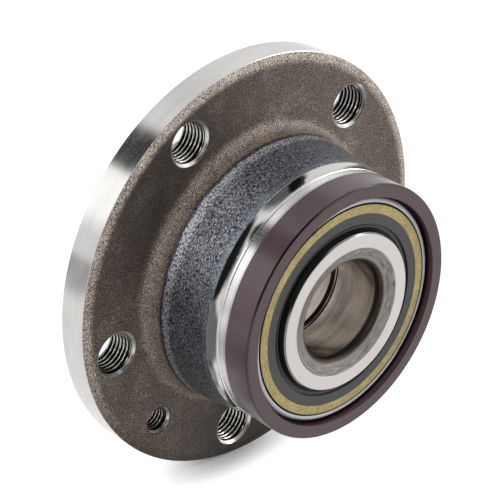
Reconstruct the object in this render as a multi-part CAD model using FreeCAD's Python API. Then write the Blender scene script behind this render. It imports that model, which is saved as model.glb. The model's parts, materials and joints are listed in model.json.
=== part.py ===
import FreeCAD, Part
import math
import os

# Wheel hub bearing for an axle that does not turn. The hub flange is one
# forging with the outer ring and turns with the wheel. The two inner rings sit
# still on the stub axle, and two rows of balls run between them, back to back.
#
# The spin axis is Y. The origin is on it, where the two inner rings meet.
# The wheel is toward +Y (outboard) and the encoder toward -Y (inboard).
# Lengths are in millimetres. "Reach" means a distance from the origin along Y.

# Bearing, from the axle outward
bore_radius = 16.0
seal_land_radius = 25.74
land_to_pitch = 2.76
ball_radius = 5.556
least_ball_gap = 1.2
contact_angle = 38.0
groove_to_ball = 1.06
ball_clearance = 0.03
row_gap = 3.044
outer_land_rise = 3.6
inner_low_land_drop = 4.6
snap_shoulder = 0.18

# Ends of the inner rings
ring_edge = 0.5
bore_cone_radius = 21.15
bore_cone_depth = 1.2
bore_rounding = 1.7
ring_past_seal = 1.6

# Clip that holds the two inner rings together in the bore
clip_land_depth = 1.2
clip_groove_depth = 0.6
clip_land_half_width = 0.9
clip_groove_width = 0.5
clip_band_thickness = 0.4
clip_bead_height = 0.25
clip_bead_half_width = 0.3
clip_gap = 4.0
clip_gap_angle = 135.0
clip_clearance = 0.05

# Cages
cage_thickness = 3.0
cage_back = 0.944
cage_mouth = 3.6
pocket_clearance = 0.144

# Seals
sheet = 0.8
cage_to_seal = 0.7
seal_depth = 3.7
seal_bore_clearance = 0.224
inboard_case_width = 2.92
outboard_seal_width = 4.66
outboard_case_width = 1.5
rubber_skin = 0.5
rubber_grip = 1.0
lip_clearance = 0.05
lip_edge = 0.2
outer_lip_rise = 1.15
flat_to_land = 2.36
least_tongue_cover = 0.1
moat_width = 0.8
moat_depth = 0.8
rim_width = 0.4
rim_drop = 0.4
outer_lip_drop = 1.5
inner_lip_drop = 2.9
rubber_thickness = 1.5

# Outer ring
spigot_wall = 2.02
spigot_rounding = 1.0
bore_mouth_edge = 0.6
encoder_seat_length = 8.1
shoulder_height = 5.1
turned_band_length = 6.8
band_flare_length = 3.6
band_flare_rise = 0.4
tool_groove_place = 2.1
tool_groove_width = 0.4
tool_groove_depth = 0.3
neck_length = 30.65
neck_taper = 2.6
root_fillet = 4.1

# Encoder
carrier_drop = 1.6
encoder_width = 9.25
encoder_edge = 0.4

# Flange
flange_thickness = 10.95
bolt_circle_radius = 57.15
bolt_to_rim = 11.35
bolt_count = 5
bolt_radius = 7.0
bolt_countersink = 0.35
first_bolt_angle = 45.0
screw_radius = 4.0
screw_countersink = 1.0
forged_rounding_width = 3.4
forged_rounding_depth = 0.95
rim_edge = 0.8

# Pilots for the brake disc and the wheel, and the seat of the grease cap
pilot_wall = 2.65
disc_pilot_step = 0.75
disc_pilot_height = 7.0
pilot_height = 20.0
pilot_edge = 1.0
pilot_relief_width = 1.5
pilot_relief_depth = 0.5
cap_seat_step = 0.7
cap_seat_depth = 9.0
cap_mouth_edge = 0.6
grease_pocket_length = 2.8

# Places worked out from the sizes above
pitch_radius = seal_land_radius + land_to_pitch
row_reach = ball_radius + row_gap
ball_count = int(2 * math.pi * pitch_radius / (2 * ball_radius + least_ball_gap))
groove_radius = ball_radius * groove_to_ball
groove_shift = groove_radius - ball_radius - ball_clearance
shift_out = groove_shift * math.cos(math.radians(contact_angle))
shift_along = groove_shift * math.sin(math.radians(contact_angle))
cage_end = row_reach + ball_radius + cage_back
seal_inner_end = cage_end + cage_to_seal
seal_face = seal_inner_end + seal_depth
ring_end = seal_face + ring_past_seal
seal_bore_radius = pitch_radius + ball_radius + seal_bore_clearance
spigot_radius = seal_bore_radius + spigot_wall
shoulder_radius = spigot_radius + shoulder_height
shoulder_reach = seal_face - encoder_seat_length
flange_back = neck_length - shoulder_reach
wheel_face = flange_back + flange_thickness
flange_radius = bolt_circle_radius + bolt_to_rim
cap_bore_radius = seal_land_radius + outboard_seal_width
wheel_pilot_radius = cap_bore_radius + pilot_wall
disc_pilot_radius = wheel_pilot_radius + disc_pilot_step
pilot_end = wheel_face + pilot_height

INBOARD = -1
OUTBOARD = 1


class Outline:
    """Half section of a turned piece, as radius and place along the axis."""

    def __init__(self, radius, along):
        self.first = FreeCAD.Vector(radius, along, 0)
        self.last = self.first
        self.edges = []

    def line(self, radius, along):
        """Go on in a straight line to this point."""
        end = FreeCAD.Vector(radius, along, 0)
        self.edges.append(Part.makeLine(self.last, end))
        self.last = end
        return self

    def arc(self, centre_radius, centre_along, radius, along):
        """Go on to this point the short way round a centre."""
        centre = FreeCAD.Vector(centre_radius, centre_along, 0)
        end = FreeCAD.Vector(radius, along, 0)
        middle = (self.last - centre) + (end - centre)
        middle.normalize()
        middle = centre + middle * (self.last - centre).Length
        self.edges.append(Part.Arc(self.last, middle, end).toShape())
        self.last = end
        return self

    def turned(self):
        """Close the outline and turn it once round the spin axis."""
        self.edges.append(Part.makeLine(self.last, self.first))
        face = Part.Face(Part.Wire(self.edges))
        return face.revolve(FreeCAD.Vector(0, 0, 0), FreeCAD.Vector(0, 1, 0), 360)


def around(radius, along, angle):
    """The point at this radius and angle; the angle runs from +X toward +Z."""
    turn = math.radians(angle)
    return FreeCAD.Vector(radius * math.cos(turn), along, radius * math.sin(turn))


def groove_reach(centre_radius, radius):
    """How far from its centre along Y a ball groove meets this radius."""
    return math.sqrt(groove_radius ** 2 - (radius - centre_radius) ** 2)


def arc_radius(length, rise):
    """Radius of an arc that leaves a line smoothly and rises this far from it."""
    return (length ** 2 + rise ** 2) / (2 * rise)


def countersunk_hole(radius, countersink, place_radius, angle):
    """Cutter for a hole through the flange, opened out at both faces."""
    along = FreeCAD.Vector(0, 1, 0)
    back = around(place_radius, flange_back, angle)
    front = around(place_radius, wheel_face, angle)
    drill = Part.makeCylinder(radius, flange_thickness, back, along)
    wide = radius + countersink
    back_cone = Part.makeCone(wide, radius, countersink, back, along)
    front_cone = Part.makeCone(wide, radius, countersink, front, along * -1)
    return drill.fuse([back_cone, front_cone])


def make_hub_flange():
    """Outer ring, flange and pilots, one forging with both outer ball grooves."""
    groove_centre_radius = pitch_radius - shift_out
    groove_centre_reach = row_reach + shift_along
    outer_land = pitch_radius + outer_land_rise
    snap_radius = groove_centre_radius + groove_radius - snap_shoulder
    land_end = groove_centre_reach - groove_reach(groove_centre_radius, outer_land)
    snap_end = groove_centre_reach + groove_reach(groove_centre_radius, snap_radius)
    band_end = turned_band_length - shoulder_reach
    flare_start = band_end - band_flare_length
    flare_end_radius = shoulder_radius + band_flare_rise
    flare_curve = arc_radius(band_flare_length, band_flare_rise)
    root_radius = flare_end_radius + neck_taper
    root_start = flange_back - root_fillet
    tool_start = tool_groove_place - shoulder_reach
    tool_end = tool_start + tool_groove_width
    skin_end = flange_radius - forged_rounding_width
    rim_start = flange_back + forged_rounding_depth
    rim_curve = arc_radius(forged_rounding_width, forged_rounding_depth)
    relief_radius = disc_pilot_radius + pilot_relief_width
    relief_floor = wheel_face - pilot_relief_depth
    cap_seat_radius = cap_bore_radius + cap_seat_step

    section = Outline(seal_bore_radius + bore_mouth_edge, -seal_face)
    section.line(spigot_radius - spigot_rounding, -seal_face)
    rounding_place = spigot_rounding - seal_face
    section.arc(spigot_radius - spigot_rounding, rounding_place, spigot_radius, rounding_place)
    section.line(spigot_radius, -shoulder_reach)
    section.line(shoulder_radius, -shoulder_reach)
    section.line(shoulder_radius, tool_start)
    section.line(shoulder_radius - tool_groove_depth, (tool_start + tool_end) / 2)
    section.line(shoulder_radius, tool_end)
    section.line(shoulder_radius, flare_start)
    section.arc(shoulder_radius + flare_curve, flare_start, flare_end_radius, band_end)
    section.line(root_radius, root_start)
    section.arc(root_radius + root_fillet, root_start, root_radius + root_fillet, flange_back)
    section.line(skin_end, flange_back)
    section.arc(skin_end, flange_back + rim_curve, flange_radius, rim_start)
    section.line(flange_radius, wheel_face - rim_edge)
    section.line(flange_radius - rim_edge, wheel_face)
    section.line(relief_radius, wheel_face)
    section.line(relief_radius, relief_floor)
    section.line(disc_pilot_radius, relief_floor)
    section.line(disc_pilot_radius, wheel_face + disc_pilot_height)
    section.line(wheel_pilot_radius, wheel_face + disc_pilot_height)
    section.line(wheel_pilot_radius, pilot_end - pilot_edge)
    section.line(wheel_pilot_radius - pilot_edge, pilot_end)
    section.line(cap_seat_radius + cap_mouth_edge, pilot_end)
    section.line(cap_seat_radius, pilot_end - cap_mouth_edge)
    section.line(cap_seat_radius, pilot_end - cap_seat_depth)
    section.line(cap_bore_radius, pilot_end - cap_seat_depth)
    section.line(cap_bore_radius, cage_end)
    section.line(snap_radius, snap_end + grease_pocket_length)
    section.line(snap_radius, snap_end)
    section.arc(groove_centre_radius, groove_centre_reach, outer_land, land_end)
    section.line(outer_land, -land_end)
    section.arc(groove_centre_radius, -groove_centre_reach, snap_radius, -snap_end)
    section.line(snap_radius, -cage_end)
    section.line(seal_bore_radius, -seal_inner_end)
    section.line(seal_bore_radius, bore_mouth_edge - seal_face)
    hub = section.turned()

    cutters = []
    for number in range(bolt_count):
        angle = first_bolt_angle + number * 360 / bolt_count
        cutters.append(countersunk_hole(bolt_radius, bolt_countersink, bolt_circle_radius, angle))
    screw_angle = first_bolt_angle + 180
    cutters.append(countersunk_hole(screw_radius, screw_countersink, bolt_circle_radius, screw_angle))
    return hub.cut(cutters)


def make_encoder_carrier():
    """Pressed sheet ring with an angle section, pushed onto the spigot."""
    end = carrier_drop - seal_face
    section = Outline(spigot_radius, end)
    section.line(spigot_radius + sheet, end)
    section.line(spigot_radius + sheet, -shoulder_reach - sheet)
    section.line(shoulder_radius, -shoulder_reach - sheet)
    section.line(shoulder_radius, -shoulder_reach)
    section.line(spigot_radius, -shoulder_reach)
    return section.turned()


def make_encoder_ring():
    """Moulded magnetic ring that the speed sensor reads."""
    inner = spigot_radius + sheet
    back = -shoulder_reach - sheet
    face = back - encoder_width
    section = Outline(inner, back)
    section.line(inner, face)
    section.line(shoulder_radius - encoder_edge, face)
    section.line(shoulder_radius, face + encoder_edge)
    section.line(shoulder_radius, back)
    return section.turned()


def make_inner_ring(side):
    """Inner ring with its ball groove, seal land and coned bore mouth."""
    groove_centre_radius = pitch_radius + shift_out
    groove_centre_reach = row_reach - shift_along
    low_land = pitch_radius - inner_low_land_drop
    low_end = groove_centre_reach - groove_reach(groove_centre_radius, low_land)
    high_start = groove_centre_reach + groove_reach(groove_centre_radius, seal_land_radius)
    clip_land = bore_radius + clip_land_depth
    clip_groove = clip_land + clip_groove_depth
    clip_end = clip_land_half_width + clip_groove_width
    rounding_radius = bore_radius + bore_rounding
    rounding_end = ring_end - bore_cone_depth
    rounding_start = rounding_end - bore_rounding

    section = Outline(clip_land, 0)
    section.line(low_land - ring_edge, 0)
    section.line(low_land, side * ring_edge)
    section.line(low_land, side * low_end)
    section.arc(groove_centre_radius, side * groove_centre_reach, seal_land_radius, side * high_start)
    section.line(seal_land_radius, side * (ring_end - ring_edge))
    section.line(seal_land_radius - ring_edge, side * ring_end)
    section.line(bore_cone_radius, side * ring_end)
    section.line(rounding_radius, side * rounding_end)
    section.arc(rounding_radius, side * rounding_start, bore_radius, side * rounding_start)
    section.line(bore_radius, side * clip_end)
    section.line(clip_groove, side * clip_end)
    section.line(clip_groove, side * clip_land_half_width)
    section.line(clip_land, side * clip_land_half_width)
    return section.turned()


def make_inner_ring_clip():
    """Split spring band whose turned-out edges hook into both inner rings."""
    band_outer = bore_radius + clip_land_depth - clip_clearance
    band_inner = band_outer - clip_band_thickness
    hook_outer = bore_radius + clip_land_depth + clip_groove_depth - clip_clearance
    hook_start = clip_land_half_width + clip_clearance
    hook_end = clip_land_half_width + clip_groove_width - clip_clearance
    bead_inner = band_inner - clip_bead_height

    section = Outline(band_inner, -hook_end)
    section.line(hook_outer, -hook_end)
    section.line(hook_outer, -hook_start)
    section.line(band_outer, -hook_start)
    section.line(band_outer, hook_start)
    section.line(hook_outer, hook_start)
    section.line(hook_outer, hook_end)
    section.line(band_inner, hook_end)
    section.line(band_inner, clip_bead_half_width)
    section.line(bead_inner, 0)
    section.line(band_inner, -clip_bead_half_width)
    band = section.turned()

    long_way = 2 * hook_outer
    slot = Part.makeBox(long_way, long_way, clip_gap, FreeCAD.Vector(0, -hook_outer, -clip_gap / 2))
    slot.rotate(FreeCAD.Vector(0, 0, 0), FreeCAD.Vector(0, -1, 0), clip_gap_angle)
    return band.cut(slot)


def make_cage(side):
    """One-piece moulded cage with round pockets that the balls snap into."""
    inner = pitch_radius - cage_thickness / 2
    outer = pitch_radius + cage_thickness / 2
    mouth = row_reach - cage_mouth
    section = Outline(inner, side * mouth)
    section.line(outer, side * mouth)
    section.line(outer, side * cage_end)
    section.line(inner, side * cage_end)
    return section.turned().cut([make_pocket(side, angle) for angle in ball_angles()])


def make_pocket(side, angle):
    """Cutter for one pocket of a cage, with its poles and seam in the open."""
    outward = around(1, 0, angle)
    mouthward = FreeCAD.Vector(0, -side, 0)
    turn = FreeCAD.Rotation(mouthward, outward.cross(mouthward), outward, "ZXY")
    pocket = Part.makeSphere(ball_radius + pocket_clearance)
    pocket.Placement = FreeCAD.Placement(around(pitch_radius, side * row_reach, angle), turn)
    return pocket


def ball_angles():
    """Angles of the balls of a row, the first half a step from the X axis."""
    step = 360 / ball_count
    return [(number + 0.5) * step for number in range(ball_count)]


def make_seal_case(side, case_radius, case_width):
    """Pressed sheet ring of a seal; its inner edge is joggled for the rubber."""
    rubber_edge = case_radius - case_width
    tongue = rubber_edge - rubber_grip
    section = Outline(case_radius, side * seal_inner_end)
    section.line(case_radius, side * seal_face)
    section.line(rubber_edge, side * seal_face)
    section.line(rubber_edge, side * (seal_face - rubber_skin))
    section.line(tongue, side * (seal_face - rubber_skin))
    section.line(tongue, side * (seal_face - rubber_skin - sheet))
    section.line(rubber_edge + sheet, side * (seal_face - rubber_skin - sheet))
    section.line(rubber_edge + sheet, side * (seal_face - sheet))
    section.line(case_radius - sheet, side * (seal_face - sheet))
    section.line(case_radius - sheet, side * seal_inner_end)
    return section.turned()


def make_seal_lip(side, case_radius, case_width):
    """Rubber of a seal: flat skin, round moat and two lips on the seal land."""
    rubber_edge = case_radius - case_width
    tongue = rubber_edge - rubber_grip
    tip = seal_land_radius + lip_clearance
    flat_end = min(seal_land_radius + flat_to_land, tongue - least_tongue_cover)
    moat_end = flat_end - moat_width
    rim_end = moat_end - rim_width
    moat_floor = seal_face - moat_depth
    rim_top = seal_face - rim_drop
    outer_tip = seal_face - outer_lip_drop
    inner_tip = seal_face - inner_lip_drop
    back = seal_face - rubber_thickness

    section = Outline(rubber_edge, side * seal_face)
    section.line(flat_end, side * seal_face)
    section.line(flat_end, side * moat_floor)
    section.line(moat_end, side * moat_floor)
    section.line(moat_end, side * rim_top)
    section.line(rim_end, side * rim_top)
    section.line(tip, side * (outer_tip + lip_edge))
    section.line(tip, side * outer_tip)
    section.line(tip + outer_lip_rise, side * (outer_tip - lip_edge))
    section.line(tip, side * (inner_tip + lip_edge))
    section.line(tip, side * inner_tip)
    section.line(moat_end, side * inner_tip)
    section.line(flat_end, side * back)
    section.line(tongue, side * back)
    section.line(tongue, side * (seal_face - rubber_skin))
    section.line(rubber_edge, side * (seal_face - rubber_skin))
    return section.turned()


def make_ball(side, angle):
    """One ball of a row."""
    return Part.makeSphere(ball_radius, around(pitch_radius, side * row_reach, angle))


def make_pieces():
    """Every piece of the bearing by the name of its node."""
    pieces = {
        "hub_flange": make_hub_flange(),
        "encoder_carrier": make_encoder_carrier(),
        "encoder_ring": make_encoder_ring(),
        "inner_ring_clip": make_inner_ring_clip(),
    }
    rows = (
        ("inboard", INBOARD, seal_bore_radius, inboard_case_width),
        ("outboard", OUTBOARD, cap_bore_radius, outboard_case_width),
    )
    for name, side, case_radius, case_width in rows:
        pieces["inner_ring_" + name] = make_inner_ring(side)
        pieces["seal_case_" + name] = make_seal_case(side, case_radius, case_width)
        pieces["seal_lip_" + name] = make_seal_lip(side, case_radius, case_width)
        pieces["cage_" + name] = make_cage(side)
        for number, angle in enumerate(ball_angles(), 1):
            pieces[f"ball_{name}_{number:02d}"] = make_ball(side, angle)
    return pieces


os.makedirs("parts", exist_ok=True)
for piece_name, shape in make_pieces().items():
    shape.exportStep(f"parts/{piece_name}.step")
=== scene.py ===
"""Looks of a wheel hub bearing: the finish of every piece, the threads in its holes, and a plain studio.

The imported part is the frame. Its spin axis is Y, the wheel is toward +Y and up is +Z. Meshes and places are
in metres. Names that end in _mm are millimetres, and so is everything that a finish measures on a surface.
"""
import json
import logging
import math
from collections.abc import Sequence
from dataclasses import dataclass
from enum import Enum
from typing import Any

import bmesh
import bpy
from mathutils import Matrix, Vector


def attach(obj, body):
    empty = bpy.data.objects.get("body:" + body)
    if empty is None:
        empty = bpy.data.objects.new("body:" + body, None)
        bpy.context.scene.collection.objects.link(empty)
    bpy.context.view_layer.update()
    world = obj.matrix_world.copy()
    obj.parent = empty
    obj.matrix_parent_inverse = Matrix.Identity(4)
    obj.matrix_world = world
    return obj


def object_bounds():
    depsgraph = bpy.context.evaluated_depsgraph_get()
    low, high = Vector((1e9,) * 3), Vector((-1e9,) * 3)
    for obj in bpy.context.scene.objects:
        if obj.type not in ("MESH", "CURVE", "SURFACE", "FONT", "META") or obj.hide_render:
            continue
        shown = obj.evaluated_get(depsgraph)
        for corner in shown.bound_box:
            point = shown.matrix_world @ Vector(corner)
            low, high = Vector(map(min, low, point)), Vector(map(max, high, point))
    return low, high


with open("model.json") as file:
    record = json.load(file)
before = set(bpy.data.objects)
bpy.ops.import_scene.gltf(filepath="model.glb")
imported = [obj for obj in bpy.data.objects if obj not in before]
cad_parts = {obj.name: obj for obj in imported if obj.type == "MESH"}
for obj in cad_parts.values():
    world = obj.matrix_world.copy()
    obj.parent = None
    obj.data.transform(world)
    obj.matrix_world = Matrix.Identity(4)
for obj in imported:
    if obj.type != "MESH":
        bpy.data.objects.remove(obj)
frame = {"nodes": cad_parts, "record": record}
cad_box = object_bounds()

MM = 0.001
FLANGE_BACK_MM = 19.25
WHEEL_FACE_MM = 30.2
Rgba = tuple[float, float, float, float]
Socket = bpy.types.NodeSocket
Colour = Socket | Rgba
WHITE: Rgba = (1.0, 1.0, 1.0, 1.0)
MIX_SHARE, MIX_FIRST, MIX_SECOND, MIX_RESULT = 0, 6, 7, 2
log = logging.getLogger("hub_bearing")


class Side(Enum):
    """The two ends of the bearing."""

    INBOARD = "inboard"
    OUTBOARD = "outboard"


def screen(red: int, green: int, blue: int) -> Rgba:
    """Turn a colour as a screen shows it into the linear colour that a shader takes.

    Args:
        red: red from 0 to 255.
        green: green from 0 to 255.
        blue: blue from 0 to 255.

    Returns:
        The linear colour with full alpha.
    """
    linear = [((v / 255 + 0.055) / 1.055) ** 2.4 if v > 10 else v / 255 / 12.92 for v in (red, green, blue)]
    return (linear[0], linear[1], linear[2], 1.0)


class Signal:
    """A number that varies over a surface, held as a node's output socket.

    Arithmetic on signals adds the Math nodes that work it out.
    """

    def __init__(self, board: "Board", socket: Socket) -> None:
        """Hold one socket of a board."""
        self.board = board
        self.socket = socket

    def maths(self, operation: str, *values: "Signal | float") -> "Signal":
        """Add a Math node.

        Args:
            operation: the operation of the Math node.
            values: its inputs, in order.

        Returns:
            The result.
        """
        node = self.board.node("ShaderNodeMath", {"operation": operation}, dict(enumerate(values)))
        return Signal(self.board, node.outputs[0])

    def __add__(self, other: "Signal | float") -> "Signal":
        """Add."""
        return self.maths("ADD", self, other)

    def __sub__(self, other: "Signal | float") -> "Signal":
        """Subtract."""
        return self.maths("SUBTRACT", self, other)

    def __rsub__(self, other: float) -> "Signal":
        """Subtract from a plain number."""
        return self.maths("SUBTRACT", other, self)

    def __mul__(self, other: "Signal | float") -> "Signal":
        """Multiply."""
        return self.maths("MULTIPLY", self, other)

    def __truediv__(self, other: "Signal | float") -> "Signal":
        """Divide."""
        return self.maths("DIVIDE", self, other)

    __radd__ = __add__
    __rmul__ = __mul__

    def size(self) -> "Signal":
        """The number without its sign."""
        return self.maths("ABSOLUTE", self)

    def most(self, other: "Signal | float") -> "Signal":
        """The larger of two."""
        return self.maths("MAXIMUM", self, other)

    def rise(self, low: float, high: float) -> "Signal":
        """Go smoothly from 0 at one value to 1 at another.

        Args:
            low: where the result is 0.
            high: where the result is 1; it may be below low.

        Returns:
            The share, from 0 to 1.
        """
        first, last, start, end = (low, high, 0.0, 1.0) if low < high else (high, low, 1.0, 0.0)
        limits = {"Value": self, "From Min": first, "From Max": last, "To Min": start, "To Max": end}
        node = self.board.node("ShaderNodeMapRange", {"interpolation_type": "SMOOTHSTEP"}, limits)
        return Signal(self.board, node.outputs[0])

    def within(self, low: float, high: float, soft: float) -> "Signal":
        """Be 1 between two values and 0 outside them.

        Args:
            low: the lower value.
            high: the upper value.
            soft: the width of each edge.

        Returns:
            The share, from 0 to 1.
        """
        return self.rise(low - soft / 2, low + soft / 2) * self.rise(high + soft / 2, high - soft / 2)


class Board:
    """The node tree of one material or world."""

    def __init__(self, tree: bpy.types.NodeTree) -> None:
        """Clear a tree to wire it anew."""
        self.tree = tree
        tree.nodes.clear()

    def node(
        self,
        kind: str,
        settings: dict[str, Any] | None = None,
        inputs: dict[str | int, Any] | None = None,
    ) -> bpy.types.Node:
        """Add a node of any kind.

        Args:
            kind: the node's type.
            settings: what is set on the node first; "stops" are the colours of a ramp by position.
            inputs: values, signals or sockets, by the name or number of the input.

        Returns:
            The node.
        """
        node = self.tree.nodes.new(kind)
        for name, value in (settings or {}).items():
            if name == "stops":
                self.set_stops(node.color_ramp, value)
            else:
                setattr(node, name, value)
        for name, value in (inputs or {}).items():
            if isinstance(value, Signal):
                self.tree.links.new(value.socket, node.inputs[name])
            elif isinstance(value, Socket):
                self.tree.links.new(value, node.inputs[name])
            else:
                node.inputs[name].default_value = value
        return node

    def set_stops(self, ramp: bpy.types.ColorRamp, stops: dict[float, Rgba]) -> None:
        """Give a ramp its stops.

        Args:
            ramp: the ramp, which has two stops at first.
            stops: colours by position, in order.
        """
        for _ in range(len(stops) - len(ramp.elements)):
            ramp.elements.new(1.0)
        for element, (position, colour) in zip(ramp.elements, stops.items()):
            element.position = position
            element.color = colour

    def noise(self, at: Socket, grain_mm: float, detail: float = 2.0) -> Signal:
        """Even noise round 0.5.

        Args:
            at: the place, in millimetres.
            grain_mm: the size of its grain.
            detail: how many finer layers it has.

        Returns:
            The noise, mostly from 0.2 to 0.8.
        """
        inputs = {"Vector": at, "Scale": 1 / grain_mm, "Detail": detail}
        node = self.node("ShaderNodeTexNoise", {}, inputs)
        return Signal(self, node.outputs[0])

    def lines(self, across: Signal, grain_mm: float, detail: float = 2.0) -> Signal:
        """Noise that changes only along one measure, such as tool marks along a turned face.

        Args:
            across: the measure, in millimetres.
            grain_mm: the width of its lines.
            detail: how many finer layers it has.

        Returns:
            The noise, mostly from 0.2 to 0.8.
        """
        inputs = {"W": across, "Scale": 1 / grain_mm, "Detail": detail}
        node = self.node("ShaderNodeTexNoise", {"noise_dimensions": "1D"}, inputs)
        return Signal(self, node.outputs[0])

    def blend(self, share: Signal, first: Colour, second: Colour) -> Socket:
        """Mix two colours.

        Args:
            share: how much of the second shows.
            first: the colour at 0.
            second: the colour at 1.

        Returns:
            The mixed colour.
        """
        inputs = {MIX_SHARE: share, MIX_FIRST: first, MIX_SECOND: second}
        return self.node("ShaderNodeMix", {"data_type": "RGBA"}, inputs).outputs[MIX_RESULT]

    def shade(self, colour: Colour, by: Signal) -> Socket:
        """Make a colour darker or lighter.

        Args:
            colour: the colour.
            by: what it is multiplied by.

        Returns:
            The shaded colour.
        """
        value = colour if isinstance(colour, Socket) else colour[:3]
        return self.vector("SCALE", {0: value, "Scale": by}).outputs[0]

    def vector(self, operation: str, inputs: dict[str | int, Any]) -> bpy.types.Node:
        """Add a Vector Math node."""
        return self.node("ShaderNodeVectorMath", {"operation": operation}, inputs)

    def bump(self, height: Signal) -> Socket:
        """Turn a height in millimetres into a normal."""
        return self.node("ShaderNodeBump", {}, {"Strength": 1.0, "Distance": MM, "Height": height}).outputs[0]

    def surface(self, **inputs: Any) -> None:
        """Finish the tree with a surface.

        Args:
            inputs: the surface's inputs, with _ for each space in their names.
        """
        named = {name.replace("_", " "): value for name, value in inputs.items()}
        shader = self.node("ShaderNodeBsdfPrincipled", {}, named)
        self.node("ShaderNodeOutputMaterial", {}, {"Surface": shader.outputs[0]})


class Place:
    """Where a point of the surface is, in millimetres, on a piece that turns round Y."""

    def __init__(self, board: Board) -> None:
        """Measure from the piece's own origin, so that a finish turns with its piece.

        Args:
            board: the finish's board.
        """
        own = board.node("ShaderNodeTexCoord").outputs["Object"]
        self.board = board
        self.point = board.vector("SCALE", {0: own, "Scale": 1 / MM}).outputs[0]
        parts = board.node("ShaderNodeSeparateXYZ", {}, {0: self.point})
        self.along = Signal(board, parts.outputs[1])
        self.height = Signal(board, parts.outputs[2])
        flat = board.node("ShaderNodeCombineXYZ", {}, {0: parts.outputs[0], 2: parts.outputs[2]})
        self.flat = flat.outputs[0]
        self.radius = self.from_axis(Vector())

    def from_axis(self, centre: Vector) -> Signal:
        """Distance from an axis along Y.

        Args:
            centre: a point of the axis, in millimetres.

        Returns:
            The distance, in millimetres.
        """
        node = self.board.vector("DISTANCE", {0: self.flat, 1: (centre.x, 0.0, centre.z)})
        return Signal(self.board, node.outputs["Value"])

    def drawn_out(self, times: float) -> Socket:
        """The place squeezed across the axis, which draws a noise out round the piece.

        Args:
            times: how many times longer the grain is round the piece than along it.

        Returns:
            The place, with its measure along the axis kept.
        """
        return self.board.vector("MULTIPLY", {0: self.point, 1: (1 / times, 1.0, 1 / times)}).outputs[0]


@dataclass(frozen=True)
class Finish:
    """A finish that one or more pieces share.

    A pair of measures goes from where a mark of the surface is absent to where it is full.
    """

    name: str

    def wire(self, board: Board) -> None:
        """Wire the finish on its board."""
        raise NotImplementedError

    def material(self) -> bpy.types.Material:
        """Make the material.

        Returns:
            The wired material.
        """
        material = bpy.data.materials.new(self.name)
        material.use_nodes = True
        self.wire(Board(material.node_tree))
        return material


@dataclass(frozen=True)
class Hole:
    """A threaded hole through the flange."""

    centre: Vector
    radius_mm: float
    mouth_mm: float
    pitch_mm: float
    depth_per_pitch: float = 0.5413
    plain_share: float = 0.65
    far_plain_mm: float = 0.1
    worn_edge_mm: float = 0.0

    @property
    def crest_mm(self) -> float:
        """Radius of the thread's crests."""
        return self.radius_mm - self.depth_per_pitch * self.pitch_mm

    @property
    def cone_mm(self) -> float:
        """How deep the near countersink goes before the thread starts."""
        return (self.mouth_mm - self.crest_mm) * self.plain_share

    @property
    def far_cone_mm(self) -> float:
        """How deep the countersink at the wheel's side goes before the thread starts."""
        return self.mouth_mm - self.radius_mm + self.far_plain_mm


@dataclass(frozen=True)
class ShadePatch:
    """A patch of painted shade on the flange's forging skin, full out to one distance and gone at another."""

    centre_mm: tuple[float, float, float]
    full_mm: float
    end_mm: float
    share: float
    over_rounding: float

    def shade(self, place: Place, flat: Signal, rounding: Signal) -> Signal:
        """How much of its light the skin keeps.

        Args:
            place: the place on the hub.
            flat: 1 on the flange and 0 on the neck.
            rounding: 1 on the flange's rounded edge.

        Returns:
            1 away from the patch, less on it.
        """
        near = place.from_axis(Vector(self.centre_mm)).rise(self.end_mm, self.full_mm)
        return 1 - near * flat * (1 - rounding * (1 - self.over_rounding)) * self.share


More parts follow.
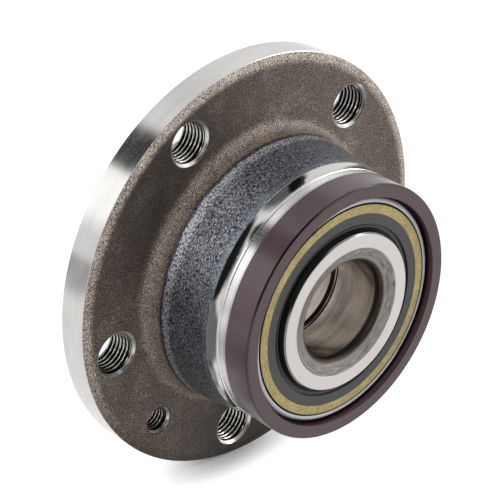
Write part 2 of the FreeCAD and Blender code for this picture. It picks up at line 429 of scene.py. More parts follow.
@dataclass(frozen=True)
class HubFinish(Finish):
    """Forged skin on the flange and the neck, and turned steel wherever a tool has been.

    The first measures say where one surface ends and the next starts. The grain of each noise follows, then
    the colours.
    """

    holes: tuple[Hole, ...] = ()
    rim_start_mm: float = 20.12
    band_end_mm: float = -4.6
    teal_end_mm: float = -3.2
    grey_start_mm: float = -2.0
    flare_end_mm: float = 1.0
    land_start_mm: float = -8.3
    spigot_start_mm: float = -12.5
    flange_back_mm: float = FLANGE_BACK_MM
    tint_mm: float = 13.7
    tint_swing_mm: float = 1.2
    tint_free_mm: tuple[float, float] = (4.0, 10.0)
    neck_mm: tuple[float, float] = (14.1, 12.7)
    strip_mm: tuple[float, float] = (-1.9, -2.2)
    beside_bore_mm: tuple[float, float] = (36.15, 36.35)
    gap_mm: tuple[float, float] = (34.83, 34.71)
    rounding_mm: tuple[float, float] = (64.4, 67.0)
    lit_height_mm: tuple[float, float] = (-48.0, -8.0)
    # Painted highlight: the neck is made lighter round its upper left side, where a soft light falls on it.
    highlight_centre_mm: tuple[float, float, float] = (-30.0, 0.0, 33.0)
    highlight_reach_mm: tuple[float, float] = (30.0, 8.0)
    highlight_gain: float = 1.3
    face_fade_mm: float = 0.6
    flat_fade_mm: float = 1.5
    spigot_fade_mm: float = 0.5
    edge_soft_mm: float = 0.1
    mouth_soft_mm: float = 0.15
    # Painted shade: the flange is darkened at the upper left beside the neck and toward the bottom.
    shade_patches: tuple[ShadePatch, ...] = (
        ShadePatch((-36.0, 25.0, 46.0), 6.0, 52.0, 0.68, 0.0),
        ShadePatch((4.0, 25.0, -64.0), 14.0, 52.0, 0.76, 1.0),
    )
    sand_mm: float = 0.3
    wrinkle_mm: float = 0.27
    wander_mm: float = 9.0
    fray_mm: float = 0.9
    blotch_mm: float = 8.0
    mark_mm: float = 0.35
    cloud_mm: float = 5.0
    scuff_mm: float = 0.7
    speck_share: tuple[float, float] = (0.56, 0.72)
    scuff_share: tuple[float, float] = (0.62, 0.7)
    skin_roughness: float = 0.56
    turned_roughness: float = 0.1
    skin_height_mm: float = 0.16
    mark_height_mm: float = 0.002
    least_shade: float = 0.04
    face_brown: Rgba = screen(106, 95, 85)
    # Painted light: the paler brown of the rounded edge where light falls on it.
    rounding_lit_brown: Rgba = screen(182, 170, 158)
    fillet_brown: Rgba = screen(147, 135, 125)
    tint_gold: Rgba = screen(136, 112, 88)
    tint_purple: Rgba = screen(88, 72, 90)
    tint_blue: Rgba = screen(72, 80, 108)
    tint_ridge_highlight: Rgba = screen(190, 190, 197)
    neck_grey: Rgba = screen(114, 115, 122)
    neck_teal: Rgba = screen(132, 140, 148)
    turned_steel: Rgba = screen(208, 206, 204)
    land_steel: Rgba = screen(240, 238, 237)
    spigot_steel: Rgba = screen(204, 204, 209)
    gap_shade_black: Rgba = screen(16, 15, 15)

    def beside_holes(self, place: Place) -> Signal:
        """Where no hole is cut.

        Args:
            place: the place on the hub.

        Returns:
            0 inside the mouths of the holes and 1 beside them.
        """
        beside = place.radius.rise(*self.beside_bore_mm)
        for hole in self.holes:
            edge = hole.mouth_mm - hole.worn_edge_mm
            beside = beside * place.from_axis(hole.centre).rise(edge, edge + self.mouth_soft_mm)
        return beside

    def neck_colours(self, board: Board, place: Place) -> Socket:
        """Colours along the neck, with the heat tint where the skin was hardened and a painted highlight
        beside it.

        Args:
            board: the finish's board.
            place: the place on the hub.

        Returns:
            The colour before its speckle.
        """
        swing = self.tint_swing_mm
        wander = board.noise(place.point, self.wander_mm, detail=1.0) * swing - swing / 2
        fray = board.noise(place.point, self.fray_mm, detail=3.0) * swing - swing / 2
        stops = {
            self.band_end_mm: self.neck_teal,
            self.teal_end_mm: self.neck_teal,
            self.grey_start_mm: self.neck_grey,
            self.tint_mm - 4.5: self.neck_grey,
            # Painted highlight: a pale band painted beside the tint.
            self.tint_mm - 2.6: self.tint_ridge_highlight,
            self.tint_mm - 1.4: self.tint_ridge_highlight,
            self.tint_mm - 0.8: self.tint_blue,
            self.tint_mm - 0.3: self.tint_purple,
            self.tint_mm + 0.3: self.tint_gold,
            self.tint_mm + 1.3: self.fillet_brown,
            self.flange_back_mm - self.face_fade_mm: self.fillet_brown,
            self.flange_back_mm: self.face_brown,
        }
        low = min(stops)
        span = max(stops) - low
        along = (place.along + (wander + fray) * place.along.rise(*self.tint_free_mm) - low) / span
        ramp = {(reach - low) / span: colour for reach, colour in stops.items()}
        return board.node("ShaderNodeValToRGB", {"stops": ramp}, {0: along}).outputs[0]

    def skin(self, board: Board, place: Place, on_neck: Signal) -> tuple[Socket, Signal, Signal]:
        """The forged skin: grain, blotches, painted highlight and light, and patches of painted shade.

        Args:
            board: the finish's board.
            place: the place on the hub.
            on_neck: 1 on the neck and 0 on the flange.

        Returns:
            Its colour, its grain and its blotches.
        """
        strip = place.along.rise(*self.strip_mm)
        sand = board.noise(place.point, self.sand_mm)
        wrinkle = board.noise(place.drawn_out(2.5), self.wrinkle_mm, detail=3.0)
        grain = sand * (1 - on_neck) + (wrinkle * (1 - strip * 0.45) + strip * 0.22) * on_neck
        blotch = board.noise(place.point, self.blotch_mm, detail=3.0)
        # Painted light: the flange's rounded edge is painted paler higher up and keeps the face's brown
        # toward the bottom.
        rounding = place.radius.rise(*self.rounding_mm)
        lit_rounding = rounding * place.height.rise(*self.lit_height_mm)
        colour = board.blend(lit_rounding, self.neck_colours(board, place), self.rounding_lit_brown)
        specks = grain.rise(*self.speck_share) * (on_neck * 0.8 + 0.6)
        flat = place.along.rise(self.flange_back_mm - self.flat_fade_mm, self.flange_back_mm)
        # Painted highlight: the neck's skin is lightened round one side.
        painted_highlight = on_neck * place.from_axis(Vector(self.highlight_centre_mm)).rise(*self.highlight_reach_mm)
        spread = (grain - 0.5) * (on_neck * 2.2 + 6.0) + (blotch - 0.5) * 0.8 + specks + 0.85
        spread = spread * (1 + painted_highlight * self.highlight_gain)
        # Painted shade: the patches darken the flange's skin.
        for patch in self.shade_patches:
            spread = spread * patch.shade(place, flat, rounding)
        return board.shade(colour, spread.most(self.least_shade)), grain, blotch

    def wire(self, board: Board) -> None:
        """Wire the skin and the turned steel by where they lie.

        Args:
            board: the finish's board.
        """
        place = Place(board)
        beside = self.beside_holes(place)
        forged = beside * place.along.within(self.band_end_mm, self.rim_start_mm, self.edge_soft_mm)
        on_neck = place.along.rise(*self.neck_mm)
        skin, grain, blotch = self.skin(board, place, on_neck)
        marks = board.lines(place.along + place.radius, self.mark_mm)
        cloud = board.noise(place.drawn_out(3.0), self.cloud_mm, detail=4.0)
        scuff = board.noise(place.point, self.scuff_mm, detail=3.0).rise(*self.scuff_share)
        on_flare = place.along.within(self.land_start_mm, self.flare_end_mm, self.edge_soft_mm)
        on_land = place.along.within(self.spigot_start_mm, self.land_start_mm, self.edge_soft_mm)
        on_spigot = place.along.rise(self.spigot_start_mm, self.spigot_start_mm - self.spigot_fade_mm)
        # Painted shade: the spigot's chamfer in the narrow gap beside the seal case is painted near black.
        gap = on_spigot * place.radius.rise(*self.gap_mm)
        turned = board.blend(on_land, self.turned_steel, self.land_steel)
        turned = board.blend(on_spigot, turned, self.spigot_steel)
        turned = board.shade(turned, marks * (on_spigot * 0.5 + 0.1) + cloud * 0.44 + 0.72 - on_spigot * 0.2)
        # Painted shade: the turned steel inside the holes is painted a little darker.
        in_hole = (1 - beside) * place.along.rise(self.tint_mm, self.flange_back_mm)
        turned = board.blend(gap, board.shade(turned, 1 - in_hole * 0.06), self.gap_shade_black)
        gloss = self.turned_roughness - on_flare * 0.08 + on_land * 0.06 + on_spigot * 0.36 + in_hole * 0.1
        gloss = gloss + cloud * 0.11 + scuff * 0.1
        height = forged * grain * (on_neck * 0.1 + self.skin_height_mm)
        height = height + (1 - forged) * marks * self.mark_height_mm
        board.surface(
            Base_Color=board.blend(forged, turned, skin),
            Metallic=1.0 - forged * (0.6 - on_neck * 0.4) - on_spigot * 0.8,
            Roughness=forged * (self.skin_roughness - on_neck * 0.29 + blotch * 0.08) + (1 - forged) * gloss,
            Normal=board.bump(height),
        )


@dataclass(frozen=True)
class ThreadFinish(Finish):
    """Freshly cut thread, painted near black in its roots as shade, with plain bright countersinks."""

    holes: tuple[Hole, ...] = ()
    flange_back_mm: float = FLANGE_BACK_MM
    wheel_face_mm: float = WHEEL_FACE_MM
    reach_in_mouths: tuple[float, float] = (1.4, 1.3)
    root_shade_share: float = 0.35
    edge_soft_mm: float = 0.1
    mark_mm: float = 0.2
    oil_mm: float = 1.5
    cone_roughness: float = 0.26
    crest: Rgba = screen(222, 219, 213)
    root: Rgba = screen(24, 22, 20)
    cone: Rgba = screen(206, 203, 197)

    def shares(self, place: Place) -> tuple[Signal, Signal]:
        """Tell the thread from its countersinks, and its roots from its crests.

        Args:
            place: the place on the thread.

        Returns:
            1 on the thread and 0 on the countersinks, then 1 in the roots and 0 elsewhere.
        """
        threads, roots = [], []
        beyond, within = self.reach_in_mouths
        for hole in self.holes:
            here = place.from_axis(hole.centre)
            start, end = self.flange_back_mm + hole.cone_mm, self.wheel_face_mm - hole.far_cone_mm
            near = here.rise(hole.mouth_mm * beyond, hole.mouth_mm * within)
            near = near * place.along.within(start, end, self.edge_soft_mm)
            depth = (here - hole.crest_mm) / (hole.radius_mm - hole.crest_mm)
            threads.append(near)
            roots.append(depth.rise(0.0, self.root_shade_share) * near)
        return sum(threads[1:], start=threads[0]), sum(roots[1:], start=roots[0])

    def wire(self, board: Board) -> None:
        """Wire the finish by the depth below the crest.

        Args:
            board: the finish's board.
        """
        place = Place(board)
        marks = board.lines(place.along, self.mark_mm)
        oil = board.noise(place.point, self.oil_mm)
        thread, root = self.shares(place)
        # Painted shade: the thread's roots are painted near black.
        colour = board.blend(root, board.blend(thread, self.cone, self.crest), self.root)
        board.surface(
            Base_Color=board.shade(colour, marks * 0.3 + oil * 0.3 + 0.7),
            Metallic=1.0,
            Roughness=marks * 0.12 + oil * 0.1 + self.cone_roughness - thread * 0.12,
            Normal=board.bump(marks * 0.004),
        )


@dataclass(frozen=True)
class EncoderFinish(Finish):
    """Moulded magnet compound, dark red-brown and smooth, with a dark face edge; painted shade on its inner
    wall and painted light on its rim.
    """

    edge_mm: tuple[float, float] = (40.6, 40.9)
    face_mm: tuple[float, float] = (-20.7, -21.0)
    # Painted shade on the inner wall, deep in the recess.
    shaded_wall_mm: tuple[float, float] = (37.55, 37.15)
    shaded_wall_deep_mm: tuple[float, float] = (-20.05, -19.05)
    # Painted light: the outer rim takes a lighter copy of the body colour.
    lit_rim_mm: tuple[float, float] = (41.1, 41.3)
    cloud_mm: float = 9.0
    fine_mm: float = 0.5
    body: Rgba = screen(70, 42, 48)
    rim: Rgba = screen(94, 74, 80)
    edge: Rgba = screen(26, 15, 17)

    def wire(self, board: Board) -> None:
        """Wire the compound, its clouds and its edge.

        Args:
            board: the finish's board.
        """
        place = Place(board)
        cloud = board.noise(place.point, self.cloud_mm, detail=3.0)
        fine = board.noise(place.point, self.fine_mm, detail=3.0)
        edge = place.radius.rise(*self.edge_mm) * place.along.rise(*self.face_mm)
        # Painted shade on the inner wall and painted light on the rim.
        wall = place.radius.rise(*self.shaded_wall_mm) * place.along.rise(*self.shaded_wall_deep_mm)
        rim = place.radius.rise(*self.lit_rim_mm)
        colour = board.blend(edge.most(wall), board.blend(rim, self.body, self.rim), self.edge)
        board.surface(
            Base_Color=board.shade(colour, cloud * 0.6 + fine * 0.6 + 0.4),
            Metallic=0.0,
            Roughness=cloud * 0.12 + fine * 0.1 + 0.1,
            Specular_IOR_Level=0.6,
            Normal=board.bump(fine * 0.012 + cloud * 0.02),
        )


@dataclass(frozen=True)
class BrightSheetFinish(Finish):
    """Bright pressed sheet with faint drawing lines, and painted shade at its end, deep in the groove."""

    groove_shade_mm: tuple[float, float] = (-16.7, -17.3)
    line_mm: float = 0.25
    cloud_mm: float = 5.0
    steel: Rgba = screen(214, 212, 209)
    groove_shade: Rgba = screen(26, 23, 22)

    def wire(self, board: Board) -> None:
        """Wire the sheet.

        Args:
            board: the finish's board.
        """
        place = Place(board)
        lines = board.lines(place.along + place.radius, self.line_mm)
        cloud = board.noise(place.point, self.cloud_mm)
        colour = board.shade(self.steel, lines * 0.1 + cloud * 0.1 + 0.88)
        board.surface(
            # Painted shade: the sheet's end, at the bottom of the groove, is painted near black.
            Base_Color=board.blend(place.along.rise(*self.groove_shade_mm), colour, self.groove_shade),
            Metallic=1.0,
            Roughness=cloud * 0.1 + 0.16,
            Normal=board.bump(lines * 0.003),
        )


@dataclass(frozen=True)
class YellowSheetFinish(Finish):
    """Yellow passivated sheet: fine speckle, paler where it was handled, and painted shade along its outer
    edge.
    """

    shaded_edge_start_mm: float = 34.13
    shaded_edge_end_mm: float = 34.58
    edge_soft_mm: float = 0.2
    speckle_mm: float = 0.35
    cloud_mm: float = 6.0
    yellow: Rgba = screen(184, 169, 116)
    olive: Rgba = screen(152, 137, 90)
    edge_shade_olive: Rgba = screen(58, 50, 32)

    def wire(self, board: Board) -> None:
        """Wire the plating.

        Args:
            board: the finish's board.
        """
        place = Place(board)
        speckle = board.noise(place.drawn_out(2.0), self.speckle_mm, detail=4.0)
        cloud = board.noise(place.point, self.cloud_mm)
        # Painted shade: the case's outer rounded edge beside the gap is painted dark olive.
        edge = place.radius.within(self.shaded_edge_start_mm, self.shaded_edge_end_mm, self.edge_soft_mm)
        colour = board.blend((speckle * 0.6 + cloud * 0.4).rise(0.3, 0.7), self.olive, self.yellow)
        colour = board.blend(edge, colour, self.edge_shade_olive)
        board.surface(
            Base_Color=board.shade(colour, speckle * 0.5 + 0.76),
            Metallic=0.6,
            Roughness=speckle * 0.2 + 0.36,
            Normal=board.bump(speckle * 0.02),
        )


@dataclass(frozen=True)
class RubberFinish(Finish):
    """Matt moulded rubber."""

    fine_mm: float = 0.35
    cloud_mm: float = 8.0
    rubber: Rgba = screen(60, 59, 60)

    def wire(self, board: Board) -> None:
        """Wire the rubber.

        Args:
            board: the finish's board.
        """
        place = Place(board)
        fine = board.noise(place.point, self.fine_mm, detail=3.0)
        cloud = board.noise(place.point, self.cloud_mm)
        board.surface(
            Base_Color=board.shade(self.rubber, fine * 1.1 + cloud * 0.4 + 0.25),
            Metallic=0.0,
            Roughness=cloud * 0.12 + fine * 0.1 + 0.36,
            Normal=board.bump(fine * 0.03),
        )


@dataclass(frozen=True)
class RingFinish(Finish):
    """Hardened ring: ground end faces and bore, a turned cone left as it came from the fire, and painted
    shade on the rounding into the bore.
    """

    face_mm: tuple[float, float] = (20.98, 21.08)
    outside_mm: tuple[float, float] = (21.15, 21.45)
    cone_mm: tuple[float, float] = (19.8, 20.1)
    rounding_start_mm: float = 17.0
    rounding_end_mm: float = 20.0
    rounding_soft_mm: float = 0.8
    mottle_mm: float = 0.2
    cloud_mm: float = 5.0
    mark_mm: float = 0.22
    turning_mm: float = 0.5
    face_steel: Rgba = screen(201, 197, 193)
    bore_steel: Rgba = screen(204, 196, 188)
    cone_steel: Rgba = screen(126, 122, 119)
    rounding_shade_steel: Rgba = screen(60, 55, 51)
    land_steel: Rgba = screen(120, 118, 118)

    def wire(self, board: Board) -> None:
        """Wire the ring by where its cuts lie.

        Args:
            board: the finish's board.
        """
        place = Place(board)
        reach = place.along.size()
        face = reach.rise(*self.face_mm)
        outside = place.radius.rise(*self.outside_mm)
        cone = reach.rise(*self.cone_mm) * (1 - outside)
        # Painted shade: the rounding between the cone and the bore is painted dark.
        rounding = reach.within(self.rounding_start_mm, self.rounding_end_mm, self.rounding_soft_mm)
        rounding = rounding * (1 - outside)
        mottle = board.noise(place.drawn_out(14.0), self.mottle_mm, detail=4.0)
        cloud = board.noise(place.drawn_out(4.0), self.cloud_mm, detail=3.0)
        marks = board.lines(place.along + place.radius, self.mark_mm)
        turning = board.lines(place.along, self.turning_mm, detail=4.0)
        bore = board.shade(self.bore_steel, turning * 0.8 + cloud * 1.6 - 0.2)
        colour = board.blend(rounding, bore, self.rounding_shade_steel)
        colour = board.blend(cone, colour, board.shade(self.cone_steel, mottle * 2.2 + marks * 0.5 - 0.35))
        colour = board.blend(outside, colour, board.shade(self.land_steel, marks * 0.3 + 0.85))
        colour = board.blend(face, colour, board.shade(self.face_steel, cloud * 0.08 + mottle * 0.08 + 0.92))
        board.surface(
            Base_Color=colour,
            Metallic=1.0,
            Roughness=face * 0.1 + cone * 0.16 + rounding * 0.3 + cloud * 0.1 + marks * 0.1 + 0.11,
            Normal=board.bump(marks * 0.004 + cone * mottle * 0.03),
        )


@dataclass(frozen=True)
class ClipFinish(Finish):
    """Blackened spring band with a painted bright glint along its inner edge."""

    glint_mm: tuple[float, float] = (16.68, 16.6)
    fine_mm: float = 0.4
    band: Rgba = screen(52, 42, 37)
    painted_glint: Rgba = screen(190, 186, 180)

    def wire(self, board: Board) -> None:
        """Wire the band and its painted glint.

        Args:
            board: the finish's board.
        """
        place = Place(board)
        fine = board.noise(place.drawn_out(6.0), self.fine_mm)
        # Painted highlight: a bright glint along the clip's inner edge.
        painted_glint = place.radius.rise(*self.glint_mm)
        board.surface(
            Base_Color=board.blend(painted_glint, board.shade(self.band, fine * 0.8 + 0.6), self.painted_glint),
            Metallic=0.9,
            Roughness=fine * 0.2 + 0.25,
            Normal=board.bump(fine * 0.006),
        )


@dataclass(frozen=True)
class NylonFinish(Finish):
    """Moulded cage nylon with short fibres under its skin."""

    fibre_mm: float = 0.3
    cloud_mm: float = 3.0
    light: Rgba = screen(214, 204, 178)
    dark: Rgba = screen(188, 176, 146)

    def wire(self, board: Board) -> None:
        """Wire the nylon.

        Args:
            board: the finish's board.
        """
        place = Place(board)
        fibre = board.noise(place.drawn_out(5.0), self.fibre_mm)
        cloud = board.noise(place.point, self.cloud_mm)
        board.surface(
            Base_Color=board.blend((fibre * 0.5 + cloud * 0.5).rise(0.3, 0.7), self.dark, self.light),
            Metallic=0.0,
            Roughness=cloud * 0.15 + 0.35,
            Normal=board.bump(fibre * 0.01),
        )


@dataclass(frozen=True)
class BallFinish(Finish):
    """Lapped ball steel with a breath of oil."""

    film_mm: float = 2.0
    steel: Rgba = screen(226, 226, 228)

    def wire(self, board: Board) -> None:
        """Wire the ball.

        Args:
            board: the finish's board.
        """
        place = Place(board)
        film = board.noise(place.point, self.film_mm, detail=3.0)
        board.surface(
            Base_Color=board.shade(self.steel, film * 0.16 + 0.86),
            Metallic=1.0,
            Roughness=film * 0.1 + 0.03,
            Normal=board.bump(film * 0.001),
        )


def dress(node: str, finish: bpy.types.Material) -> None:
    """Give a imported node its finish.

    Args:
        node: the node's name.
        finish: the material.
    """
    for slot in frame["nodes"][node].material_slots:
        slot.material = finish
    log.info("%s: %s", node, finish.name)


@dataclass
class ThreadedHole:
    """The thread of one hole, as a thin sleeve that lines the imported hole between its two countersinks."""

    name: str
    hole: Hole
    start_mm: float
    end_mm: float
    columns: int = 72
    rows_per_turn: int = 16
    skin_mm: float = 0.01
    root_lift_mm: float = 0.07
    run_in_mm: float = 0.4
    far_steepness: float = 2.0

    def form(self, phase: float) -> float:
        """How far the thread stands in from its root.

        Args:
            phase: the place across one turn of the thread, from 0 to 1.

        Returns:
            0 at the root, 1 at the crest.
        """
        root_flat, flank, crest_flat = 1 / 8, 17 / 48, 1 / 6
        rise = (phase - root_flat) / flank
        fall = (phase - root_flat - flank - crest_flat) / flank
        return max(0.0, min(1.0, rise, 1 - fall))

    def wall_radius(self, phase: float, reach_mm: float) -> float:
        """Radius of the lined wall.

        Args:
            phase: the place across one turn of the thread, from 0 to 1.
            reach_mm: the place along Y.

        Returns:
            The countersink's radius, or the thread's beyond it, in millimetres.
        """
        near, far = reach_mm - self.start_mm, self.end_mm - reach_mm
        cone = self.hole.mouth_mm - min(near, far * self.far_steepness)
        cone = min(self.hole.radius_mm, cone) - self.skin_mm
        beyond = min(near - self.hole.cone_mm, far - self.hole.far_cone_mm)
        if beyond < 0:
            return cone
        crest = max(cone, self.hole.crest_mm)
        root = max(self.hole.radius_mm - self.root_lift_mm - crest, 0.0)
        return crest + root * (1 - self.form(phase)) * min(1.0, beyond / self.run_in_mm)

    def ring(self, radii_mm: Sequence[float], reach_mm: float) -> list[Vector]:
        """One closed row of points round the hole.

        Args:
            radii_mm: the radius at each column.
            reach_mm: the place along Y.

        Returns:
            The points, in metres.
        """
        points = []
        for column, radius in enumerate(radii_mm):
            turn = 2 * math.pi * column / self.columns
            across = Vector((math.cos(turn), 0.0, math.sin(turn))) * radius
            points.append((self.hole.centre + across + Vector((0.0, reach_mm, 0.0))) * MM)
        return points

    def rows(self) -> list[list[Vector]]:
        """Rows of points along the thread, then back along the outer wall of the sleeve.

        Returns:
            The rows, of which the last meets the first.
        """
        sink = self.hole.mouth_mm - self.hole.radius_mm
        first, last = self.start_mm + sink, self.end_mm - sink
        count = math.ceil((last - first) / self.hole.pitch_mm * self.rows_per_turn)
        rows = []
        for row in range(count + 1):
            reach = first + (last - first) * row / count
            turns = [reach / self.hole.pitch_mm - column / self.columns for column in range(self.columns)]
            rows.append(self.ring([self.wall_radius(turn % 1, reach) for turn in turns], reach))
        wall = [self.hole.radius_mm - self.skin_mm] * self.columns
        return rows + [self.ring(wall, last), self.ring(wall, first)]

    def build(self, finish: bpy.types.Material) -> bpy.types.Object:
        """Build the sleeve and ride it on the hub.

        Args:
            finish: the material of the cut thread.

        Returns:
            The sleeve.
        """
        piece = closed_tube(self.name, self.rows())
        piece.data.materials.append(finish)
        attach(piece, "hub")
        log.info("%s: %d faces", self.name, len(piece.data.polygons))
        return piece


def put(name: str, data: bpy.types.ID) -> bpy.types.Object:
    """Make an object and put it in the scene.

    Args:
        name: its name.
        data: its mesh, lamp or camera.

    Returns:
        The object.
    """
    thing = bpy.data.objects.new(name, data)
    bpy.context.scene.collection.objects.link(thing)
    return thing


def closed_tube(name: str, rows: Sequence[Sequence[Vector]], crease_deg: float = 40.0) -> bpy.types.Object:
    """Join rows of points into a tube whose last row meets its first, and weld points that fall together.

    Args:
        name: the piece's name.
        rows: rows of points with the same count, each closed on itself.
        crease_deg: the angle between two faces from which their edge stays sharp.

    Returns:
        The smooth-shaded piece, with its creases kept sharp.
    """
    columns = len(rows[0])
    points = [point for row in rows for point in row]
    faces = []
    for row in range(len(rows)):
        here, after = row * columns, (row + 1) % len(rows) * columns
        for column in range(columns):
            beside = (column + 1) % columns
            faces.append((here + column, here + beside, after + beside, after + column))
    mesh = bpy.data.meshes.new(name)
    mesh.from_pydata(points, [], faces)
    weld(mesh)
    piece = put(name, mesh)
    mesh.shade_smooth()
    mesh.set_sharp_from_angle(angle=math.radians(crease_deg))
    return piece


def weld(mesh: bpy.types.Mesh, within: float = 1e-7) -> None:
    """Merge points that fall together, which also takes out faces without area.

    Args:
        mesh: the mesh.
        within: how near two points are to merge, in metres.
    """
    work = bmesh.new()
    work.from_mesh(mesh)
    bmesh.ops.remove_doubles(work, verts=work.verts, dist=within)
    bmesh.ops.recalc_face_normals(work, faces=work.faces)
    work.to_mesh(mesh)
    work.free()


@dataclass
class Hub:
    """The hub forging with its rim, neck, pilots and threaded holes."""

    flange_back_mm: float = FLANGE_BACK_MM
    wheel_face_mm: float = WHEEL_FACE_MM
    bolt_pitch_mm: float = 1.5
    bolt_countersink_mm: float = 0.35
    screw_pitch_mm: float = 1.25
    screw_countersink_mm: float = 1.0
    screw_worn_edge_mm: float = 0.45

    def holes(self, start: str, mount: str, size: str, countersink_mm: float, **details: float) -> list[Hole]:
        """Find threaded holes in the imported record.

        Args:
            start: how the names of their openings start.
            mount: the name of their mount.
            size: the name of the mount's radius.
            countersink_mm: how much wider their mouths are.
            details: the pitch of their threads, and what else a Hole holds.

        Returns:
            The holes, in the record's order.
        """
        radius = next(m for m in frame["record"]["mounts"] if m["name"] == mount)["dims"][size]
        found = []
        for opening in frame["record"]["physics"]["openings"]:
            if opening["name"].startswith(start):
                low, high = (Vector(corner) for corner in opening["box_m"])
                middle = (low + high) / 2 / MM
                centre = Vector((middle.x, 0.0, middle.z))
                found.append(Hole(centre, radius, radius + countersink_mm, **details))
        return found

    def build(self) -> None:
        """Dress the forging and line its holes."""
        bolts = self.holes(
            "bolt_hole",
            "wheel_bolts",
            "hole_r_mm",
            self.bolt_countersink_mm,
            pitch_mm=self.bolt_pitch_mm,
        )
        screws = self.holes(
            "screw_hole",
            "disc_screw",
            "r_mm",
            self.screw_countersink_mm,
            pitch_mm=self.screw_pitch_mm,
            worn_edge_mm=self.screw_worn_edge_mm,
        )
        every = tuple(bolts + screws)
        dress("hub_flange", HubFinish("hub_steel", every).material())
        cut = ThreadFinish("cut_thread", every, self.flange_back_mm, self.wheel_face_mm).material()
        names = [f"bolt_thread_{number}" for number in range(1, len(bolts) + 1)] + ["screw_thread"]
        for name, hole in zip(names, every):
            ThreadedHole(name, hole, self.flange_back_mm, self.wheel_face_mm).build(cut)


@dataclass
class Encoder:
    """The magnetic ring for the speed sensor and the sheet ring that carries it."""

    def build(self) -> None:
        """Dress both rings."""
        dress("encoder_ring", EncoderFinish("magnet_compound").material())
        dress("encoder_carrier", BrightSheetFinish("bright_sheet").material())


@dataclass
class Seals:
    """A plated case and a rubber lip at each end."""

    def build(self) -> None:
        """Dress the cases and the lips."""
        case = YellowSheetFinish("yellow_sheet").material()
        rubber = RubberFinish("seal_rubber").material()
        for side in Side:
            dress(f"seal_case_{side.value}", case)
            dress(f"seal_lip_{side.value}", rubber)


@dataclass
class InnerRings:
    """The two inner rings and the clip that holds them together."""

    def build(self) -> None:
        """Dress the rings and the clip."""
        steel = RingFinish("ring_steel").material()
        for side in Side:
            dress(f"inner_ring_{side.value}", steel)
        dress("inner_ring_clip", ClipFinish("spring_steel").material())


@dataclass
class BallRows:
    """Two rows of balls in their cages."""

    def build(self) -> None:
        """Dress the cages and the balls."""
        nylon = NylonFinish("cage_nylon").material()
        steel = BallFinish("ball_steel").material()
        for node in sorted(frame["nodes"]):
            if node.startswith("cage_"):
                dress(node, nylon)
            elif node.startswith("ball_"):
                dress(node, steel)


@dataclass
class PhotoCamera:
    """The camera that took the photograph."""

    azimuth: float = -43.13
    elevation: float = 30.643
    distance_mm: float = 720.36
    lens_mm: float = 165.6
    aim_mm: tuple[float, float, float] = (4.284, 25.972, -0.265)
    clip_m: tuple[float, float] = (0.01, 50.0)

    def build(self) -> None:
        """Set the camera up and make it the scene's."""
        turn, tilt = math.radians(self.azimuth), math.radians(self.elevation)
        level = Vector((math.sin(turn), -math.cos(turn), 0.0)) * math.cos(tilt)
        back = level + Vector((0.0, 0.0, math.sin(tilt)))
        data = bpy.data.cameras.new("photo_camera")
        data.lens = self.lens_mm
        data.clip_start, data.clip_end = self.clip_m
        camera = put("photo_camera", data)
        camera.location = (Vector(self.aim_mm) + back * self.distance_mm) * MM
        camera.rotation_euler = (-back).to_track_quat("-Z", "Y").to_euler()
        bpy.context.scene.camera = camera
        log.info("photo_camera: %.1f mm lens, %.0f mm away", self.lens_mm, self.distance_mm)


@dataclass(frozen=True)
class Lamp:
    """A square soft lamp that looks at the object."""

    name: str
    place_m: tuple[float, float, float]
    width_m: float
    power_w: float

    def build(self) -> None:
        """Hang the lamp."""
        data = bpy.data.lights.new(self.name, "AREA")
        data.size = self.width_m
        data.energy = self.power_w
        lamp = put(self.name, data)
        lamp.location = self.place_m
        lamp.rotation_euler = (-Vector(self.place_m)).to_track_quat("-Z", "Y").to_euler()
        log.info("%s: %.1f W", self.name, self.power_w)


@dataclass(frozen=True)
class Card:
    """A round card or window that only gloss mirrors, full out to one angle and gone at another."""

    toward: tuple[float, float, float]
    inner_deg: float
    outer_deg: float
    level: float

    def shade(self, board: Board, toward: Socket) -> Signal:
        """How bright the room is, with this card in it.

        Args:
            board: the room's board.
            toward: the direction that is looked in.

        Returns:
            The card's level where it hangs, and 1 away from it.
        """
        axis = tuple(Vector(self.toward).normalized())
        dot = board.vector("DOT_PRODUCT", {0: toward, 1: axis})
        inner, outer = (math.cos(math.radians(reach)) for reach in (self.inner_deg, self.outer_deg))
        return Signal(board, dot.outputs["Value"]).rise(outer, inner) * (self.level - 1.0) + 1.0


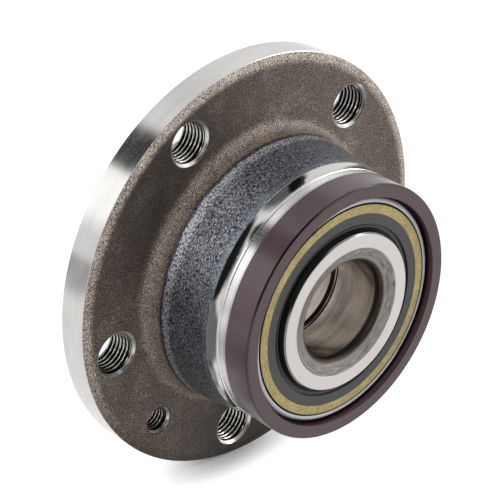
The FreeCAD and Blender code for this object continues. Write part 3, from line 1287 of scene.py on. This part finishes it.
@dataclass
class Studio:
    """A white table under soft light, with dark and bright cards that the steel mirrors.

    The foot is a painted soft shadow where the rim stands on the table.
    """

    ambient: float = 0.33
    table_m: float = 12.0
    table_white: float = 0.6
    painted_shadow_glow: float = 0.05
    table_far_glow: float = 0.84
    painted_shadow_m: tuple[float, float] = (-0.009, 0.022)
    painted_shadow_reach_m: tuple[float, float] = (0.036, 0.015)
    painted_shadow_core: float = 0.1
    table_mirror_level: float = 0.9
    cards: tuple[Card, ...] = (
        Card((-0.35, 0.64, 0.68), 8.0, 12.0, 0.03),
        Card((-0.75, -0.45, 0.5), 57.0, 64.0, 0.012),
        Card((0.385, 0.48, 0.79), 7.0, 10.0, 0.05),
        Card((0.25, 0.25, 1.0), 18.0, 30.0, 0.15),
        Card((-0.557, 0.663, 0.5), 11.0, 21.0, 1.65),
    )
    table_cards: tuple[Card, ...] = (
        Card((-0.9, 0.08, -0.3), 23.0, 29.0, 0.2),
        Card((-0.68, 0.1, -0.73), 12.5, 15.5, 0.35),
        Card((-0.5, 0.14, -0.855), 10.5, 12.3, 0.55),
        Card((-0.74, 0.67, -0.07), 4.0, 9.0, 0.5),
    )
    lamps: tuple[Lamp, ...] = (
        Lamp("key_lamp", (-0.95, -0.5, 0.9), 0.8, 7.2),
        Lamp("side_lamp", (0.95, -0.7, 0.4), 0.5, 6.0),
    )

    def seen_straight(self, board: Board) -> Signal:
        """Whether a ray shows the surroundings: straight, in a mirror or through glass.

        Args:
            board: the board of the surroundings.

        Returns:
            1 for such a ray and 0 for one that only brings light.
        """
        rays = board.node("ShaderNodeLightPath").outputs
        kinds = ("Camera", "Glossy", "Transmission")
        straight, mirrored, through = (Signal(board, rays[f"Is {kind} Ray"]) for kind in kinds)
        return straight.most(mirrored).most(through)

    def mirrored(self, board: Board) -> Signal:
        """Whether a ray comes from gloss or bright metal."""
        return Signal(board, board.node("ShaderNodeLightPath").outputs["Is Glossy Ray"])

    def build_world(self) -> None:
        """Light the object evenly from a white room."""
        world = bpy.data.worlds.new("white_room")
        world.use_nodes = True
        board = Board(world.node_tree)
        toward = board.node("ShaderNodeTexCoord").outputs["Generated"]
        mirrored = self.mirrored(board)
        room = math.prod((card.shade(board, toward) for card in self.cards), start=mirrored)
        seen = self.seen_straight(board)
        level = seen * (1.0 - mirrored + room) + (1.0 - seen) * self.ambient
        colour = board.shade(WHITE, level)
        light = board.node("ShaderNodeBackground", {}, {"Color": colour, "Strength": 1.0})
        board.node("ShaderNodeOutputWorld", {}, {"Surface": light.outputs[0]})
        bpy.context.scene.world = world

    def build_table(self) -> None:
        """Lay the table under the rim: it keeps cast shadows, has a painted soft shadow round the foot and is
        white elsewhere.
        """
        half = self.table_m / 2
        low = cad_box[0].z
        corners = [(-half, -half, low), (half, -half, low), (half, half, low), (-half, half, low)]
        mesh = bpy.data.meshes.new("table")
        mesh.from_pydata(corners, [], [(0, 1, 2, 3)])
        table = put("table", mesh)
        material = bpy.data.materials.new("table_white")
        material.use_nodes = True
        board = Board(material.node_tree)
        place = board.node("ShaderNodeNewGeometry").outputs["Position"]
        toward = board.vector("NORMALIZE", {0: place}).outputs[0]
        cards = [card.shade(board, toward) for card in self.table_cards]
        white = 1.0 - self.mirrored(board) * (1.0 - math.prod(cards, start=self.table_mirror_level))
        # Painted shadow: the table's glow fades out in an ellipse round the foot.
        wide, deep = self.painted_shadow_reach_m
        flat = board.vector("MULTIPLY", {0: place, 1: (1 / wide, 1 / deep, 0.0)})
        foot = (self.painted_shadow_m[0] / wide, self.painted_shadow_m[1] / deep, 0.0)
        away = board.vector("DISTANCE", {0: flat.outputs[0], 1: foot})
        clear = Signal(board, away.outputs["Value"]).rise(self.painted_shadow_core, 1.0)
        glow = clear * (self.table_far_glow - self.painted_shadow_glow) + self.painted_shadow_glow
        board.surface(
            Base_Color=board.shade(WHITE, white * self.table_white),
            Roughness=0.9,
            Specular_IOR_Level=0.0,
            Emission_Color=board.shade(WHITE, self.seen_straight(board) * white * glow),
            Emission_Strength=1.0,
        )
        mesh.materials.append(material)

    def build(self) -> None:
        """Set up the room, the table and the lamps, and show colours as they are written."""
        bpy.context.scene.view_settings.view_transform = "Standard"
        self.build_world()
        self.build_table()
        for lamp in self.lamps:
            lamp.build()


def main() -> None:
    """Dress the bearing from the hub inward, then set up the camera and the studio."""
    logging.basicConfig(level=logging.INFO, format="%(message)s")
    for part in (Hub(), Encoder(), Seals(), InnerRings(), BallRows(), PhotoCamera(), Studio()):
        part.build()
        log.info("%s built", type(part).__name__)


if __name__ == "__main__":
    main()
